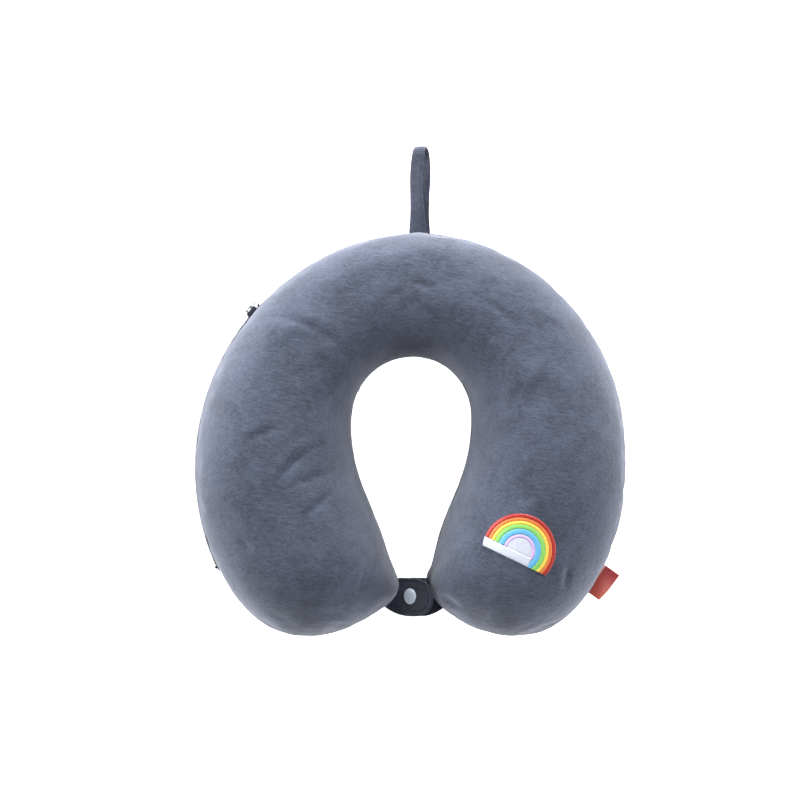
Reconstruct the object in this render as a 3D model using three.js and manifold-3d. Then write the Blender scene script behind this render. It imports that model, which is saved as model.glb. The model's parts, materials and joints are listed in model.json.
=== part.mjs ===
// A U-shaped travel neck pillow that lies flat: a moulded foam core in a two-piece liner, inside a
// velour cover with a side zip, a hanging loop, a closure of two tabs and a press snap, a woven side
// label and an embroidered rainbow patch. Millimetres, +Z up, back of the neck towards +Y, the ends
// of the two legs towards -Y. The origin is the middle of the footprint, on the surface it lies on.
import * as THREE from "three";
import { mergeVertices } from "three/addons/utils/BufferGeometryUtils.js";
import Module from "manifold-3d";

const wasm = await Module();
wasm.setup();

const RADIANS = Math.PI / 180;

// Plan of the pillow. Each section runs from a point on the outer edge to one on the inner edge.
const NECK_CENTRE_Y = -18.3; // centre of the round end of the neck opening
const NECK_RADIUS = 42.2;
const BACK_RADIUS = 127.9; // outer edge of the back, from that centre
const SHOULDER_RADIUS = 143.2; // outer edge of the shoulders, from that centre
const SHOULDER_ANGLE = 80; // degrees from the back to a shoulder
const BACK_STEP = 20; // degrees between sections round the back
const LEG_SECTIONS = [
  { outer: [148.8, -29.4], inner: [42.2, -28.0] },
  { outer: [150.2, -61.5], inner: [39.4, -49.6] },
  { outer: [145.7, -93.5], inner: [32.1, -71.2] },
  { outer: [135.2, -122.8], inner: [22.3, -94.2] },
  { outer: [117.1, -150.0], inner: [15.3, -118.6] },
  { outer: [95.5, -166.4], inner: [10.1, -138.1] },
  { outer: [78.1, -170.2], inner: [23.0, -152.4] },
];
const TIP = [51.6, -167.4];

// The sewn shape isn't quite symmetric: the back leans to +X, and so do the legs' inner corners.
const BACK_LEAN = 5.6;
const LEAN_START_Y = -62.9;
const BACK_Y = NECK_CENTRE_Y + BACK_RADIUS;
const CORNER_SHIFT = 3.3;
const CORNER_Y = -138;
const CORNER_LENGTH = 20;
const CORNER_REACH = 60;

// Heights. The top and bottom panels meet at a level seam round the widest line.
const SEAM_Z = 50;
const SEAM_GAP = 0.3;
const BACK_CROWN = 42; // top of the back above the seam
const LEG_CROWN = 58; // top of the legs above the seam
const CROWN_STATION = 6; // sections from the back to where a leg is at its full height
const BELLY = 54; // underside below the seam, before the ground flattens it
const TIP_ROUNDING = 50; // length of a leg's end over which its height grows
const TOP_FULLNESS = 2.2; // exponents of the superelliptic sections
const BELLY_FULLNESS = 2.4;
const STEPS_PER_SECTION = 2;
const ROUND_STEPS = 8; // facets over the top, and again under the bottom

// Layers, as depths below the outside of the cover.
const COVER_THICKNESS = 1.8;
const LINER_OUTSIDE = 3.4;
const LINER_INSIDE = 4.1;
const FOAM_OUTSIDE = 4.9;

// Zip: a coil chain on a circular arc down the outside of the leg on the -X side.
const ZIP = { x: 16.6, y: -54.5, radius: 167.3, from: 137.6, to: 204 };
const ZIP_SLOT = { halfHeight: 4.2, margin: 2.2, depth: 6 };
const TAPE = { inside: -1.6, outside: -1.0, near: 0.9, far: 3.9 };
const COIL = { inside: -0.9, outside: 0.5, near: 0.55, far: 1.95 };
const SLIDER_ANGLE = 139.4;
const SLIDER_LENGTH = 8.5;
const ARC_STEP = 3; // degrees of the zip's arc to a facet

// Hanging loop: one strap folded over, its ends in the seam at the back, twisting as it rises.
const LOOP = { length: 60.4, width: 11, thickness: 1.6, base: 2.0, open: 11.4, twist: 24, root: 0.5 };
const LOOP_STEPS = 12;
const LOOP_BEND_STEPS = 6;

// Closure: two tabs from the legs' inner corners, joined by a press snap whose axis is tilted.
const SNAP = { x: 0.7, y: -143.7, z: 54.5, tilt: 42, spacing: 7.0 };
const TAB = { y: -144.4, halfWidth: 13.2, thickness: 2.6, flat: 6.2, hole: 1.35, gap: 0.5 };
const LEFT_TAB = { root: [-21, 50], end: 19.8, tip: 15.3, corner: 13.2 };
const RIGHT_TAB = { root: [27, 50], end: 13.5, tip: -4.2, corner: 6 };
const SNAP_SEGMENTS = 16;

// Woven label in the outer seam near the end of the +X leg: the middle of its free edge, and its
// length before the leg trims it.
const LABEL = { x: 139.4, y: -138.6, angle: -36, width: 22.5, length: 14, thickness: 0.9, gap: 0.5 };

// Embroidered patch on top of the +X leg: rings of thread bands round a pale field, all cut off by a
// chord below their centre, and a pale strip along the chord that stops short of the bands' right end.
const PATCH = { x: 72.8, y: -109.9, turn: -25.7, chord: -8.0, edge: 0.2, gap: 0.3 };
const STRIP = { top: -1.6, end: 9.8 };
const PATCH_LAYERS = { backing: [-1.0, -0.4], thread: [-1.9, -1.3] };
const FIELD_RADIUS = 8.4;
const BANDS = [
  { name: "red", outer: 24.9, colour: 0xc8322b },
  { name: "orange", outer: 22.3, colour: 0xf0903a },
  { name: "yellow", outer: 20.1, colour: 0xf2e05a },
  { name: "green", outer: 17.8, colour: 0x86cf5c },
  { name: "blue", outer: 14.7, colour: 0x58b2e6 },
  { name: "lilac", outer: 10.8, colour: 0xc9b2ea },
];

const pillow = new THREE.Group();

// Materials

function material(colour, roughness, metalness = 0) {
  return new THREE.MeshStandardMaterial({ color: colour, roughness, metalness });
}

const VELOUR = material(0x6a7086, 0.95);
const DARK_VELOUR = material(0x4a4f63, 0.95);
const KNIT = material(0xe8e6e0, 0.9);
const FOAM = material(0xf0e6c8, 0.85);
const TAPE_CLOTH = material(0x3f4456, 0.9);
const NYLON = material(0x3a3f50, 0.5);
const ENAMEL = material(0x4a4f60, 0.4, 0.6);
const SNAP_PLASTIC = material(0xa3b0c0, 0.35);
const LABEL_SATIN = material(0xb02a38, 0.5);
const PALE_THREAD = material(0xcdd3e2, 0.6);

function addPiece(name, geometry, look, parent = pillow) {
  const mesh = new THREE.Mesh(geometry, look);
  mesh.name = name;
  parent.add(mesh);
  return mesh;
}

// Solids for cutting and joining

function solidOf(geometry) {
  const bare = geometry.clone();
  bare.deleteAttribute("normal");
  bare.deleteAttribute("uv");
  const merged = mergeVertices(bare, 1e-3);
  return new wasm.Manifold(
    new wasm.Mesh({
      numProp: 3,
      vertProperties: new Float32Array(merged.attributes.position.array),
      triVerts: new Uint32Array(merged.index.array),
    }),
  );
}

function geometryOf(solid) {
  const mesh = solid.getMesh();
  const geometry = new THREE.BufferGeometry();
  geometry.setAttribute("position", new THREE.BufferAttribute(mesh.vertProperties, 3));
  geometry.setIndex(new THREE.BufferAttribute(mesh.triVerts, 1));
  geometry.computeVertexNormals();
  return geometry;
}

// Closed rings of points joined one to the next. An end ring that shrinks to a point or a line
// closes the solid there.
function loft(rings) {
  const found = new Map();
  const coordinates = [];
  const faces = [];
  const indexOf = (p) => {
    const key = [p.x, p.y, p.z].map((value) => value.toFixed(3)).join();
    if (!found.has(key)) {
      found.set(key, coordinates.length / 3);
      coordinates.push(p.x, p.y, p.z);
    }
    return found.get(key);
  };
  const addFace = (a, b, c) => {
    if (a !== b && b !== c && c !== a) faces.push(a, b, c);
  };
  for (let k = 0; k + 1 < rings.length; k++) {
    const here = rings[k].map(indexOf);
    const next = rings[k + 1].map(indexOf);
    here.forEach((corner, i) => {
      const j = (i + 1) % here.length;
      addFace(corner, here[j], next[j]);
      addFace(corner, next[j], next[i]);
    });
  }
  const geometry = new THREE.BufferGeometry();
  geometry.setAttribute("position", new THREE.Float32BufferAttribute(coordinates, 3));
  geometry.setIndex(faces);
  if (solidOf(geometry).volume() < 0) geometry.setIndex(faces.reverse());
  geometry.computeVertexNormals();
  return geometry;
}

function extrude(shape, depth, curveSegments = 12) {
  return new THREE.ExtrudeGeometry(shape, { depth, bevelEnabled: false, curveSegments });
}

// Shape of the pillow

function leaning(x, y) {
  const back = Math.max(0, (y - LEAN_START_Y) / (BACK_Y - LEAN_START_Y));
  const corner = Math.exp(-(((y - CORNER_Y) / CORNER_LENGTH) ** 2));
  const reach = Math.max(0, 1 - Math.abs(x) / CORNER_REACH);
  return new THREE.Vector3(x + BACK_LEAN * back ** 1.5 + CORNER_SHIFT * corner * reach, y, 0);
}

// Sections of one half, from the middle of the back to the last one before the tip.
function halfSections() {
  const sections = [];
  for (let angle = 0; angle <= SHOULDER_ANGLE; angle += BACK_STEP) {
    const growth = (angle / SHOULDER_ANGLE) ** 2.5;
    const radius = BACK_RADIUS + (SHOULDER_RADIUS - BACK_RADIUS) * growth;
    const across = Math.sin(angle * RADIANS);
    const along = Math.cos(angle * RADIANS);
    sections.push({
      outer: [radius * across, NECK_CENTRE_Y + radius * along],
      inner: [NECK_RADIUS * across, NECK_CENTRE_Y + NECK_RADIUS * along],
    });
  }
  return [...sections, ...LEG_SECTIONS];
}

const HALF = halfSections();
const SPAN = 2 * HALF.length; // section intervals from one tip to the other
const STEPS = SPAN * STEPS_PER_SECTION;

// The outline starts at the -X tip, follows the outer edge to the +X tip and the inner edge back.
function outlineCurve() {
  const side = (edge, sign) => HALF.map((section) => leaning(sign * section[edge][0], section[edge][1]));
  return new THREE.CatmullRomCurve3(
    [
      leaning(-TIP[0], TIP[1]),
      ...side("outer", -1).reverse(),
      ...side("outer", 1).slice(1),
      leaning(TIP[0], TIP[1]),
      ...side("inner", 1).reverse(),
      ...side("inner", -1).slice(1),
    ],
    true,
    "centripetal",
  );
}

const OUTLINE = outlineCurve();

function edgePoint(share, inset) {
  const at = ((share % 1) + 1) % 1;
  const point = OUTLINE.getPoint(at);
  const along = OUTLINE.getTangent(at);
  return new THREE.Vector3(point.x + along.y * inset, point.y - along.x * inset, 0);
}

function smooth(value) {
  const t = Math.min(1, Math.max(0, value));
  return t * t * (3 - 2 * t);
}

// Share of the full height at a distance back from a leg's tip.
function tipShare(distance, inset) {
  const t = Math.min(1, distance / (TIP_ROUNDING - inset));
  return Math.sqrt(1 - (1 - t) ** 2);
}

// The half of a section above (side 1) or below (side -1) the seam, from outer to inner edge.
function halfSection(step, side, inset) {
  const outer = edgePoint(step / (2 * STEPS), inset);
  const inner = edgePoint(1 - step / (2 * STEPS), inset);
  const tip = edgePoint(step < STEPS / 2 ? 0 : 0.5, inset);
  const middle = outer.clone().add(inner).multiplyScalar(0.5);
  const reach = outer.clone().sub(inner).multiplyScalar(0.5);
  const station = Math.abs(step - STEPS / 2) / STEPS_PER_SECTION;
  const crown = BACK_CROWN + (LEG_CROWN - BACK_CROWN) * smooth(station / CROWN_STATION);
  const height = ((side > 0 ? crown : BELLY) - inset) * tipShare(middle.distanceTo(tip), inset);
  const power = 2 / (side > 0 ? TOP_FULLNESS : BELLY_FULLNESS);
  const points = [];
  for (let i = 0; i <= ROUND_STEPS; i++) {
    const turn = (Math.PI * i) / ROUND_STEPS;
    const across = Math.sign(Math.cos(turn)) * Math.abs(Math.cos(turn)) ** power;
    const up = Math.abs(Math.sin(turn)) ** power;
    const point = middle.clone().addScaledVector(reach, i * 2 === ROUND_STEPS ? 0 : across);
    point.z = SEAM_Z + side * (SEAM_GAP / 2 + height * (i % ROUND_STEPS ? up : 0));
    point.z = Math.max(point.z, inset);
    points.push(point);
  }
  return points;
}

// One fabric half, above or below the seam, between two depths.
function panel(side, outside, inside) {
  const rings = [];
  for (let step = 0; step <= STEPS; step++) {
    rings.push([...halfSection(step, side, outside), ...halfSection(step, side, inside).reverse()]);
  }
  return loft(rings);
}

function filledShape(inset) {
  const rings = [];
  for (let step = 0; step <= STEPS; step++) {
    const above = halfSection(step, 1, inset);
    const below = halfSection(step, -1, inset).reverse();
    const ring = [...above, ...below.slice(1, -1)];
    [ring[0], ring[ROUND_STEPS]].forEach((point) => (point.z = SEAM_Z));
    if (step % STEPS === 0) ring.forEach((point) => point.copy(ring[0]));
    rings.push(ring);
  }
  return loft(rings);
}

// Soft shells and core

function addBody() {
  const slot = solidOf(
    zipBar(
      -ZIP_SLOT.depth,
      ZIP_SLOT.depth,
      SEAM_Z - ZIP_SLOT.halfHeight,
      SEAM_Z + ZIP_SLOT.halfHeight,
      ZIP.from - ZIP_SLOT.margin,
      ZIP.to + ZIP_SLOT.margin,
    ),
  );
  for (const [name, side] of [["cover_top_panel", 1], ["cover_bottom_panel", -1]]) {
    addPiece(name, geometryOf(solidOf(panel(side, 0, COVER_THICKNESS)).subtract(slot)), VELOUR);
  }
  addPiece("liner_top", panel(1, LINER_OUTSIDE, LINER_INSIDE), KNIT);
  addPiece("liner_bottom", panel(-1, LINER_OUTSIDE, LINER_INSIDE), KNIT);
  addPiece("foam_core", filledShape(FOAM_OUTSIDE), FOAM);
}

// Zip

// A bar along the zip's arc, between two distances from its radius, two heights and two angles.
function zipBar(inside, outside, low, high, fromAngle, toAngle) {
  const shape = new THREE.Shape();
  const [start, end] = [fromAngle * RADIANS, toAngle * RADIANS];
  shape.absarc(0, 0, ZIP.radius + outside, start, end, false);
  shape.absarc(0, 0, ZIP.radius + inside, end, start, true);
  const segments = Math.ceil((toAngle - fromAngle) / ARC_STEP);
  return extrude(shape, high - low, segments).translate(ZIP.x, ZIP.y, low);
}

function addChain() {
  for (const [name, side] of [["upper", 1], ["lower", -1]]) {
    const bar = (cut, fromAngle, toAngle) => {
      const heights = [SEAM_Z + side * cut.near, SEAM_Z + side * cut.far].sort((a, b) => a - b);
      return zipBar(cut.inside, cut.outside, ...heights, fromAngle, toAngle);
    };
    addPiece(`zip_tape_${name}`, bar(TAPE, ZIP.from - 1.6, ZIP.to + 1.6), TAPE_CLOTH);
    addPiece(`zip_coil_${name}`, bar(COIL, ZIP.from, ZIP.to), NYLON);
    addPiece(`zip_top_stop_${name}`, bar(COIL, ZIP.from - 0.7, ZIP.from - 0.1), ENAMEL);
  }
  const [inside, outside, reach] = [COIL.inside, COIL.outside, COIL.far];
  const stop = zipBar(inside, outside, SEAM_Z - reach, SEAM_Z + reach, ZIP.to + 0.1, ZIP.to + 0.8);
  addPiece("zip_bottom_stop", stop, ENAMEL);
}

// The slider's own frame: x along the chain towards the back, y out of the pillow, z up.
const slider = new THREE.Group();

function addSlider() {
  const angle = SLIDER_ANGLE * RADIANS;
  slider.position.set(
    ZIP.x + ZIP.radius * Math.cos(angle),
    ZIP.y + ZIP.radius * Math.sin(angle),
    SEAM_Z,
  );
  slider.rotation.z = angle - Math.PI / 2;
  pillow.add(slider);

  const plates = new THREE.Shape(
    [
      [-2.5, -3.1], [-1.9, -3.1], [-1.9, -0.25], [0.8, -0.25], [0.8, -2.25], [-0.5, -2.25],
      [-0.5, -3.25], [1.8, -3.25], [1.8, 3.25], [-0.5, 3.25], [-0.5, 2.25], [0.8, 2.25],
      [0.8, 0.25], [-1.9, 0.25], [-1.9, 3.1], [-2.5, 3.1],
    ].map(([out, up]) => new THREE.Vector2(out, up)),
  );
  // The extrusion runs along the chain, with the shape's x outwards and its y up.
  const axes = new THREE.Matrix4().makeBasis(
    new THREE.Vector3(0, 1, 0),
    new THREE.Vector3(0, 0, 1),
    new THREE.Vector3(1, 0, 0),
  );
  const body = extrude(plates, SLIDER_LENGTH).translate(0, 0, -SLIDER_LENGTH / 2).applyMatrix4(axes);

  const arch = new THREE.Shape();
  arch.moveTo(-2.7, 1.6);
  arch.lineTo(-2.7, 3.0);
  arch.quadraticCurveTo(-2.7, 3.9, -1.8, 3.9);
  arch.lineTo(1.8, 3.9);
  arch.quadraticCurveTo(2.7, 3.9, 2.7, 3.0);
  arch.lineTo(2.7, 1.6);
  arch.lineTo(1.4, 1.6);
  arch.lineTo(1.4, 3.1);
  arch.lineTo(-1.4, 3.1);
  arch.lineTo(-1.4, 1.6);
  const bridge = extrude(arch, 1.4, 4).translate(0, 0, -0.7);
  addPiece("zip_slider", geometryOf(solidOf(body).add(solidOf(bridge))), ENAMEL, slider);
}

// The pull lies along the chain towards the back, its cross bar under the slider's bridge.
function addPull() {
  const [pivot, half, end, eyeEnd] = [2.45, 0.4, 7.4, 3.4];
  const outline = new THREE.Shape();
  outline.moveTo(-half, -1.9);
  outline.lineTo(end - 2, -1.9);
  outline.absarc(end - 1.9, 0, 1.9, -Math.PI / 2, Math.PI / 2, false);
  outline.lineTo(-half, 1.9);
  const eye = new THREE.Path();
  eye.moveTo(half, -1.0);
  eye.lineTo(half, 1.0);
  eye.lineTo(eyeEnd, 1.0);
  eye.lineTo(eyeEnd, -1.0);
  outline.holes.push(eye);
  const pull = extrude(outline, 2 * half, 6).rotateX(Math.PI / 2).translate(0, pivot + half, 0);
  addPiece("zip_pull_tab", pull, ENAMEL, slider);
}

// Hanging loop

// A ring of the folded strap: `rise` from the seam, `offset` from the loop's middle towards the
// front or back strand, `direction` the way that the strap runs, 0 up and PI back down.
function strapRing(rise, offset, direction) {
  const { width, thickness, length, twist } = LOOP;
  const turn = twist * RADIANS * smooth(rise / length);
  const corners = [
    [-width / 2, -thickness / 2], [width / 2, -thickness / 2],
    [width / 2, thickness / 2], [-width / 2, thickness / 2],
  ];
  return corners.map(([across, out]) => {
    const depth = offset + out * Math.cos(direction);
    const height = rise + out * Math.sin(direction);
    return new THREE.Vector3(
      across * Math.cos(turn) - depth * Math.sin(turn),
      height,
      across * Math.sin(turn) + depth * Math.cos(turn),
    );
  });
}

function addLoop() {
  const { length, thickness, base, open, root } = LOOP;
  const bend = open / 2;
  const top = length - thickness / 2 - bend;
  const offsetAt = (rise) => base / 2 + (bend - base / 2) * smooth(rise / top);
  const rises = [];
  for (let i = 0; i < LOOP_STEPS; i++) rises.push(root + ((top - root) * i) / LOOP_STEPS);
  const front = rises.map((rise) => strapRing(rise, offsetAt(rise), 0));
  const back = rises.map((rise) => strapRing(rise, -offsetAt(rise), Math.PI)).reverse();
  const over = [];
  for (let i = 0; i <= LOOP_BEND_STEPS; i++) {
    const turn = (Math.PI * i) / LOOP_BEND_STEPS;
    over.push(strapRing(top + bend * Math.sin(turn), bend * Math.cos(turn), turn));
  }
  const rings = [...front, ...over, ...back];
  const closed = (ring) => {
    const middle = ring.reduce((sum, p) => sum.add(p), new THREE.Vector3()).divideScalar(4);
    return ring.map(() => middle);
  };
  const strap = loft([closed(rings[0]), ...rings, closed(rings.at(-1))]);
  addPiece("hang_loop", strap, DARK_VELOUR).position.set(BACK_LEAN, BACK_Y, SEAM_Z);
}

// Closure

function tiltedPoint(from, along, out) {
  const tilt = SNAP.tilt * RADIANS;
  return new THREE.Vector2(
    from.x + along * Math.cos(tilt) - out * Math.sin(tilt),
    from.y + along * Math.sin(tilt) + out * Math.cos(tilt),
  );
}

// A tab's side view: it leaves the leg level, then runs straight at the snap's tilt.
function tabProfile(root, snap, toEnd, end) {
  const start = tiltedPoint(snap, -toEnd * TAB.flat, 0);
  const bendStart = tiltedPoint(snap, -toEnd * (TAB.flat + 3), 0);
  const near = new THREE.Vector2(root.x + toEnd * 12, root.y);
  const curve = new THREE.CubicBezierCurve(root, near, bendStart, start).getPoints(8);
  const line = [...curve, tiltedPoint(snap, toEnd * end, 0)];
  const normalAt = (i) => {
    const a = line[Math.max(0, i - 1)];
    const b = line[Math.min(line.length - 1, i + 1)];
    return new THREE.Vector2(a.y - b.y, b.x - a.x).normalize();
  };
  const edge = (out) => line.map((p, i) => p.clone().addScaledVector(normalAt(i), out));
  return new THREE.Shape([...edge(-TAB.thickness / 2), ...edge(TAB.thickness / 2).reverse()]);
}

// A tab's plan: straight from the leg, rounded at its free end, its lower edge curving up to the leg.
function tabPlan({ root, tip, corner }, toEnd) {
  const shape = new THREE.Shape();
  const [low, high] = [TAB.y - TAB.halfWidth, TAB.y + TAB.halfWidth];
  const quarter = Math.PI / 2;
  const x = tip - toEnd * corner;
  shape.moveTo(root[0], high);
  shape.lineTo(x, high);
  shape.absarc(x, high - corner, corner, quarter, quarter - toEnd * quarter, toEnd > 0);
  shape.absarc(x, low + corner, corner, quarter - toEnd * quarter, quarter - toEnd * Math.PI, toEnd > 0);
  shape.lineTo(root[0] + toEnd * 20, low);
  shape.quadraticCurveTo(root[0] + toEnd * 10, low, root[0], low + 9);
  return shape;
}

function tabGeometry(tab, snap, toEnd, legs) {
  const { y, halfWidth, hole } = TAB;
  const root = new THREE.Vector2(...tab.root);
  const depth = 2 * halfWidth + 2;
  const band = extrude(tabProfile(root, snap, toEnd, tab.end), depth)
    .rotateX(Math.PI / 2)
    .translate(0, y + depth / 2, 0);
  const plan = extrude(tabPlan(tab, toEnd), 2 * SEAM_Z, 6);
  const post = new THREE.CylinderGeometry(hole, hole, 12, SNAP_SEGMENTS)
    .applyQuaternion(snapTurn())
    .translate(snap.x, SNAP.y, snap.y);
  const cut = solidOf(band).intersect(solidOf(plan)).subtract(legs).subtract(solidOf(post));
  return geometryOf(cut);
}

// Turns +Y, the axis of lathed pieces, to the snap's axis.
function snapTurn() {
  const tilt = SNAP.tilt * RADIANS;
  const axis = new THREE.Vector3(-Math.sin(tilt), 0, Math.cos(tilt));
  return new THREE.Quaternion().setFromUnitVectors(new THREE.Vector3(0, 1, 0), axis);
}

function lathe(profile) {
  const points = profile.map(([radius, height]) => new THREE.Vector2(radius, height));
  return new THREE.LatheGeometry(points, SNAP_SEGMENTS);
}

// A cap: a domed head outside the fabric and a post through it, spread at its end. It is drawn
// with the head up and the fabric's middle at height 0.
function capProfile(postEnd) {
  return [
    [0, postEnd], [1.7, postEnd], [1.7, postEnd + 0.35], [1.0, postEnd + 0.5], [1.0, 1.55],
    [5.4, 1.55], [5.5, 1.95], [4.9, 2.5], [3.0, 2.9], [0, 3.0],
  ];
}

const SOCKET_PROFILE = [
  [1.3, -1.6], [1.3, -2.4], [3.1, -2.4], [3.1, -4.0], [5.2, -4.0], [5.4, -3.7], [5.4, -1.8],
  [5.2, -1.6], [1.3, -1.6],
];
const STUD_PROFILE = [
  [1.3, -5.4], [5.2, -5.4], [5.4, -5.2], [5.4, -4.6], [5.2, -4.4], [2.1, -4.4], [2.1, -3.5],
  [1.9, -3.3], [1.8, -3.3], [1.8, -5.0], [1.3, -5.0], [1.3, -5.4],
];

function addClosure() {
  const legs = solidOf(filledShape(-TAB.gap));
  const left = new THREE.Vector2(SNAP.x, SNAP.z);
  const right = tiltedPoint(left, 0, -SNAP.spacing);
  addPiece("closure_tab_left", tabGeometry(LEFT_TAB, left, 1, legs), DARK_VELOUR);
  addPiece("closure_tab_right", tabGeometry(RIGHT_TAB, right, -1, legs), DARK_VELOUR);

  const snap = new THREE.Group();
  snap.position.set(SNAP.x, SNAP.y, SNAP.z);
  snap.quaternion.copy(snapTurn());
  pillow.add(snap);
  addPiece("snap_cap_left", lathe(capProfile(-3.1)), SNAP_PLASTIC, snap);
  addPiece("snap_socket", lathe(SOCKET_PROFILE), SNAP_PLASTIC, snap);
  addPiece("snap_stud", lathe(STUD_PROFILE), SNAP_PLASTIC, snap);
  const underCap = addPiece("snap_cap_right", lathe(capProfile(-2.9)), SNAP_PLASTIC, snap);
  underCap.position.y = -SNAP.spacing;
  underCap.rotation.z = Math.PI;
}

// Label and patch

function addLabel() {
  const { width, length, thickness, x, y, angle, gap } = LABEL;
  const label = new THREE.BoxGeometry(length, width, thickness)
    .translate(-length / 2, 0, 0)
    .rotateZ(angle * RADIANS)
    .translate(x, y, SEAM_Z);
  const legs = solidOf(filledShape(-gap));
  addPiece("side_label", geometryOf(solidOf(label).subtract(legs)), LABEL_SATIN);
}

// A column over the whole height of the pillow, above a shape drawn about the patch's centre.
function patchColumn(shape) {
  const column = extrude(shape, 3 * SEAM_Z, 24).rotateZ(PATCH.turn * RADIANS);
  return solidOf(column.translate(PATCH.x, PATCH.y, SEAM_Z));
}

function disc(radius) {
  return patchColumn(new THREE.Shape().absarc(0, 0, radius, 0, 2 * Math.PI, false));
}

function rectangle(left, low, right, high) {
  const corners = [[left, low], [right, low], [right, high], [left, high]];
  return patchColumn(new THREE.Shape(corners.map(([x, y]) => new THREE.Vector2(x, y))));
}

function addPatch() {
  const { chord, edge, gap } = PATCH;
  const rim = BANDS[0].outer;
  const skins = {
    backing: solidOf(panel(1, ...PATCH_LAYERS.backing)),
    thread: solidOf(panel(1, ...PATCH_LAYERS.thread)),
  };
  const sew = (name, skin, column, look) => addPiece(name, geometryOf(skin.intersect(column)), look);

  const whole = disc(rim + edge).intersect(rectangle(-2 * rim, chord - edge, 2 * rim, 2 * rim));
  sew("patch_backing", skins.backing, whole, PALE_THREAD);

  const aboveChord = rectangle(-2 * rim, chord, 2 * rim, 2 * rim);
  const aroundStrip = rectangle(-2 * rim, 2 * chord, STRIP.end + gap, STRIP.top + gap);
  const trimmed = (column) => column.intersect(aboveChord).subtract(aroundStrip);
  BANDS.forEach(({ name, outer, colour }, i) => {
    const inner = (BANDS[i + 1]?.outer ?? FIELD_RADIUS) + gap;
    const ring = disc(outer).subtract(disc(inner));
    sew(`patch_band_${name}`, skins.thread, trimmed(ring), material(colour, 0.55));
  });
  sew("patch_field", skins.thread, trimmed(disc(FIELD_RADIUS)), PALE_THREAD);

  const strip = rectangle(-2 * rim, chord, STRIP.end, STRIP.top).intersect(disc(rim));
  sew("patch_base_strip", skins.thread, strip, PALE_THREAD);
}

addBody();
addChain();
addSlider();
addPull();
addLoop();
addClosure();
addLabel();
addPatch();

export default pillow;
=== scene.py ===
"""The look of a U-shaped velour neck pillow, built round its CAD frame: a stuffed cover with a side
zip, a hanging loop, a closure of two tabs and a press snap, a woven label and a rainbow patch.
Metres, +Z up, the back of the neck towards +Y, the ends of the two legs towards -Y."""
import json
import math

import bmesh
import bpy
import numpy as np
from mathutils import Matrix, Vector
from mathutils.bvhtree import BVHTree
from mathutils.kdtree import KDTree


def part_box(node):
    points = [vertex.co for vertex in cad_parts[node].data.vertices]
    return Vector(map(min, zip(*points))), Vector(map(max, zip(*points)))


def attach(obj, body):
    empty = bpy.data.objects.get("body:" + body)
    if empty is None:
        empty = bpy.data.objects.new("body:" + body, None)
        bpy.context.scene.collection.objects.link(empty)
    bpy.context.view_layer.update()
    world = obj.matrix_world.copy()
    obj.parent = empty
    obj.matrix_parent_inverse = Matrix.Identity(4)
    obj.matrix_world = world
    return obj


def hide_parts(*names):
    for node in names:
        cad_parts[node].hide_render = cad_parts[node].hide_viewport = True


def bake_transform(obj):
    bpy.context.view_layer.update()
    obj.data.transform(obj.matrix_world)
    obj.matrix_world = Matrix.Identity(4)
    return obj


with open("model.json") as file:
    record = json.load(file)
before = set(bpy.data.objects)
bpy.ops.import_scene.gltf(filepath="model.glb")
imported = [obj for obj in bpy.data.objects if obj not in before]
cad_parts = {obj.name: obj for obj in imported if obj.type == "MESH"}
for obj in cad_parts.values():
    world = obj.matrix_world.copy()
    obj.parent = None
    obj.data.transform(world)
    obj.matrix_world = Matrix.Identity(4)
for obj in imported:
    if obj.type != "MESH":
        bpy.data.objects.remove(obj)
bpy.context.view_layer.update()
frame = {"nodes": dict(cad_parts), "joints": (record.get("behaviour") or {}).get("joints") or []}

MM = 0.001
JOINTS = {joint["name"]: joint for joint in frame["joints"]}
SEAM_Z = (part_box("cover_top_panel")[0].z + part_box("cover_bottom_panel")[1].z) / 2

# The stuffed cover
LAYER_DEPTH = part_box("cover_top_panel")[1].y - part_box("foam_core")[1].y
ROUNDING_LOSS = 1.5 * MM  # what smoothing takes off the coarse foam shape
VOXEL = 4 * MM
PUFF_PRESSURE = 4.0
PUFF_FRAMES = 20
PUFF_SLACK = -0.035  # negative shrinking: the cloth is cut larger than the shape it covers
PUFF_OUT = 4 * MM  # how far a swell may stand out, and a crease may sink
PUFF_IN = 1.5 * MM
PUFF_SHARE = 0.7  # how much of the swells is kept, and how much of that on the inner edge
PUFF_INNER_SHARE = 0.25
SEAM_PIN = 3.2 * MM  # how near the seam the cloth is held
GROOVE_DEPTH = 1.8 * MM  # how far the edges roll in along the seam
GROOVE_WIDTH = 3.0 * MM
SEAM_LIFT = 0.03 * MM  # keeps the two edges apart
SEAM_EDGE = 1 * MM  # the points this near the seam plane are the edge
SEAM_ALLOWANCE = 4 * MM  # behind the zip; elsewhere it stops at the liner
LINER_CLEARANCE = 0.9 * MM
SEAM_BAND = 6 * MM  # beside the seam, points keep off the liner by moving level only
OPENING_X = 2 * MM  # the middle line of the neck opening, and where it starts and ends
OPENING_Y = (-138 * MM, -18 * MM)

# Shallow creases in the top: x, y, direction in degrees, half length, depth
CREASES = (
    (-72, 44, -24, 33, 1.3),
    (8, 72, -14, 10, 1.4),
    (15, 51, -38, 12, 1.4),
    (-12, 66, 30, 9, 1.1),
    (106, -129, 82, 10, 1.5),
    (-32, -126, 62, 17, 1.2),
    (27, -147, -38, 9, 1.6),
    (-20, -150, 30, 8, 1.4),
    (-81, -49, 41, 22, 1.5),
    (-70, -61, 20, 15, 1.2),
    (-66, -79, 40, 15, 1.5),
    (-104, -30, 25, 14, 1.3),
    (-115, -107, -45, 7, 1.5),
    (62, 52, -40, 16, 1.2),
)
CREASE_WIDTH = 2.6 * MM
CREASE_BEND = 0.006 / MM  # how fast a crease curves away from straight
CREASE_RIDGE = 0.2  # the height of the swell beside a crease, as a share of its depth

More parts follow.
